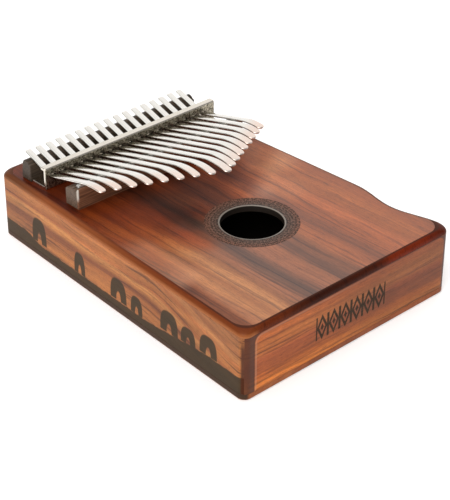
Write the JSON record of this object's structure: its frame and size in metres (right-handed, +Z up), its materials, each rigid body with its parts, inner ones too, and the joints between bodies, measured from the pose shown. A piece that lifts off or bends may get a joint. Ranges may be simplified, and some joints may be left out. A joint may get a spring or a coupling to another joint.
{
  "type": "thumb piano",
  "caption": "Thumb piano (mbira, kalimba) with sprung steel tines held by a bracket over a hollow, tapered wooden box with a round sound hole.",
  "frame": {"origin": "under the middle of the box, on the surface it rests on", "axes": "+Z up; +Y along the box from the player's end to the tuning end; +X to the player's right, towards the scalloped side"},
  "size_m": [0.1316, 0.185, 0.0581],
  "materials": {
    "top_wood": "satin, figured reddish brown",
    "side_wood": "satin, golden brown",
    "end_wood": "satin, reddish brown",
    "back_wood": "satin, dark reddish brown",
    "binding_wood": "satin, very dark reddish brown",
    "block_wood": "raw, unfinished",
    "bridge_wood": "oiled, dark grey-brown",
    "rosette_inlay": "dark inlay with pale flecks",
    "ring_inlay": "pale, satin",
    "rod_steel": "polished",
    "bracket_steel": "polished pressed sheet",
    "screw_steel": "satin",
    "tine_steel": "bright, finely ground"
  },
  "bodies": {
    "body": {"back_board": "back_wood", "left_side": "side_wood", "right_side": "side_wood", "front_end": "end_wood", "rear_end": "end_wood", "key_block": "block_wood", "soundboard": "top_wood", "edge_binding": "binding_wood", "rosette": "rosette_inlay", "sound_hole_ring": "ring_inlay", "front_bridge": "bridge_wood", "front_rod": "rod_steel", "rear_bridge": "bridge_wood", "tine_bracket": "bracket_steel", "bracket_screws": "screw_steel"},
    "tine_01": {"tine_01": "tine_steel"},
    "tine_02": {"tine_02": "tine_steel"},
    "tine_03": {"tine_03": "tine_steel"},
    "tine_04": {"tine_04": "tine_steel"},
    "tine_05": {"tine_05": "tine_steel"},
    "tine_06": {"tine_06": "tine_steel"},
    "tine_07": {"tine_07": "tine_steel"},
    "tine_08": {"tine_08": "tine_steel"},
    "tine_09": {"tine_09": "tine_steel"},
    "tine_10": {"tine_10": "tine_steel"},
    "tine_11": {"tine_11": "tine_steel"},
    "tine_12": {"tine_12": "tine_steel"},
    "tine_13": {"tine_13": "tine_steel"},
    "tine_14": {"tine_14": "tine_steel"},
    "tine_15": {"tine_15": "tine_steel"},
    "tine_16": {"tine_16": "tine_steel"},
    "tine_17": {"tine_17": "tine_steel"}
  },
  "joints": [
    {"name": "tine_01_press", "type": "hinge", "parent": "body", "child": "tine_01", "pos_m": [0, 0.0376, 0.04667], "axis": [1, 0, 0], "range_deg": [0, 1.5], "stiffness_Nm_per_rad": 10.9},
    {"name": "tine_02_press", "type": "hinge", "parent": "body", "child": "tine_02", "pos_m": [0, 0.0376, 0.04667], "axis": [1, 0, 0], "range_deg": [0, 1.62], "stiffness_Nm_per_rad": 8.7},
    {"name": "tine_03_press", "type": "hinge", "parent": "body", "child": "tine_03", "pos_m": [0, 0.0376, 0.04667], "axis": [1, 0, 0], "range_deg": [0, 1.75], "stiffness_Nm_per_rad": 7.2},
    {"name": "tine_04_press", "type": "hinge", "parent": "body", "child": "tine_04", "pos_m": [0, 0.0376, 0.04667], "axis": [1, 0, 0], "range_deg": [0, 1.88], "stiffness_Nm_per_rad": 6.2},
    {"name": "tine_05_press", "type": "hinge", "parent": "body", "child": "tine_05", "pos_m": [0, 0.0376, 0.04667], "axis": [1, 0, 0], "range_deg": [0, 2], "stiffness_Nm_per_rad": 5.4},
    {"name": "tine_06_press", "type": "hinge", "parent": "body", "child": "tine_06", "pos_m": [0, 0.0376, 0.04667], "axis": [1, 0, 0], "range_deg": [0, 2.12], "stiffness_Nm_per_rad": 4.8},
    {"name": "tine_07_press", "type": "hinge", "parent": "body", "child": "tine_07", "pos_m": [0, 0.0376, 0.04667], "axis": [1, 0, 0], "range_deg": [0, 2.25], "stiffness_Nm_per_rad": 4.3},
    {"name": "tine_08_press", "type": "hinge", "parent": "body", "child": "tine_08", "pos_m": [0, 0.0376, 0.04667], "axis": [1, 0, 0], "range_deg": [0, 2.38], "stiffness_Nm_per_rad": 3.9},
    {"name": "tine_09_press", "type": "hinge", "parent": "body", "child": "tine_09", "pos_m": [0, 0.0376, 0.04667], "axis": [1, 0, 0], "range_deg": [0, 2.5], "stiffness_Nm_per_rad": 3.6},
    {"name": "tine_10_press", "type": "hinge", "parent": "body", "child": "tine_10", "pos_m": [0, 0.0376, 0.04667], "axis": [1, 0, 0], "range_deg": [0, 2.38], "stiffness_Nm_per_rad": 3.9},
    {"name": "tine_11_press", "type": "hinge", "parent": "body", "child": "tine_11", "pos_m": [0, 0.0376, 0.04667], "axis": [1, 0, 0], "range_deg": [0, 2.25], "stiffness_Nm_per_rad": 4.2},
    {"name": "tine_12_press", "type": "hinge", "parent": "body", "child": "tine_12", "pos_m": [0, 0.0376, 0.04667], "axis": [1, 0, 0], "range_deg": [0, 2.12], "stiffness_Nm_per_rad": 4.6},
    {"name": "tine_13_press", "type": "hinge", "parent": "body", "child": "tine_13", "pos_m": [0, 0.0376, 0.04667], "axis": [1, 0, 0], "range_deg": [0, 2], "stiffness_Nm_per_rad": 5},
    {"name": "tine_14_press", "type": "hinge", "parent": "body", "child": "tine_14", "pos_m": [0, 0.0376, 0.04667], "axis": [1, 0, 0], "range_deg": [0, 1.88], "stiffness_Nm_per_rad": 5.6},
    {"name": "tine_15_press", "type": "hinge", "parent": "body", "child": "tine_15", "pos_m": [0, 0.0376, 0.04667], "axis": [1, 0, 0], "range_deg": [0, 1.75], "stiffness_Nm_per_rad": 6.3},
    {"name": "tine_16_press", "type": "hinge", "parent": "body", "child": "tine_16", "pos_m": [0, 0.0376, 0.04667], "axis": [1, 0, 0], "range_deg": [0, 1.62], "stiffness_Nm_per_rad": 7.2},
    {"name": "tine_17_press", "type": "hinge", "parent": "body", "child": "tine_17", "pos_m": [0, 0.0376, 0.04667], "axis": [1, 0, 0], "range_deg": [0, 1.5], "stiffness_Nm_per_rad": 8.5}
  ]
}
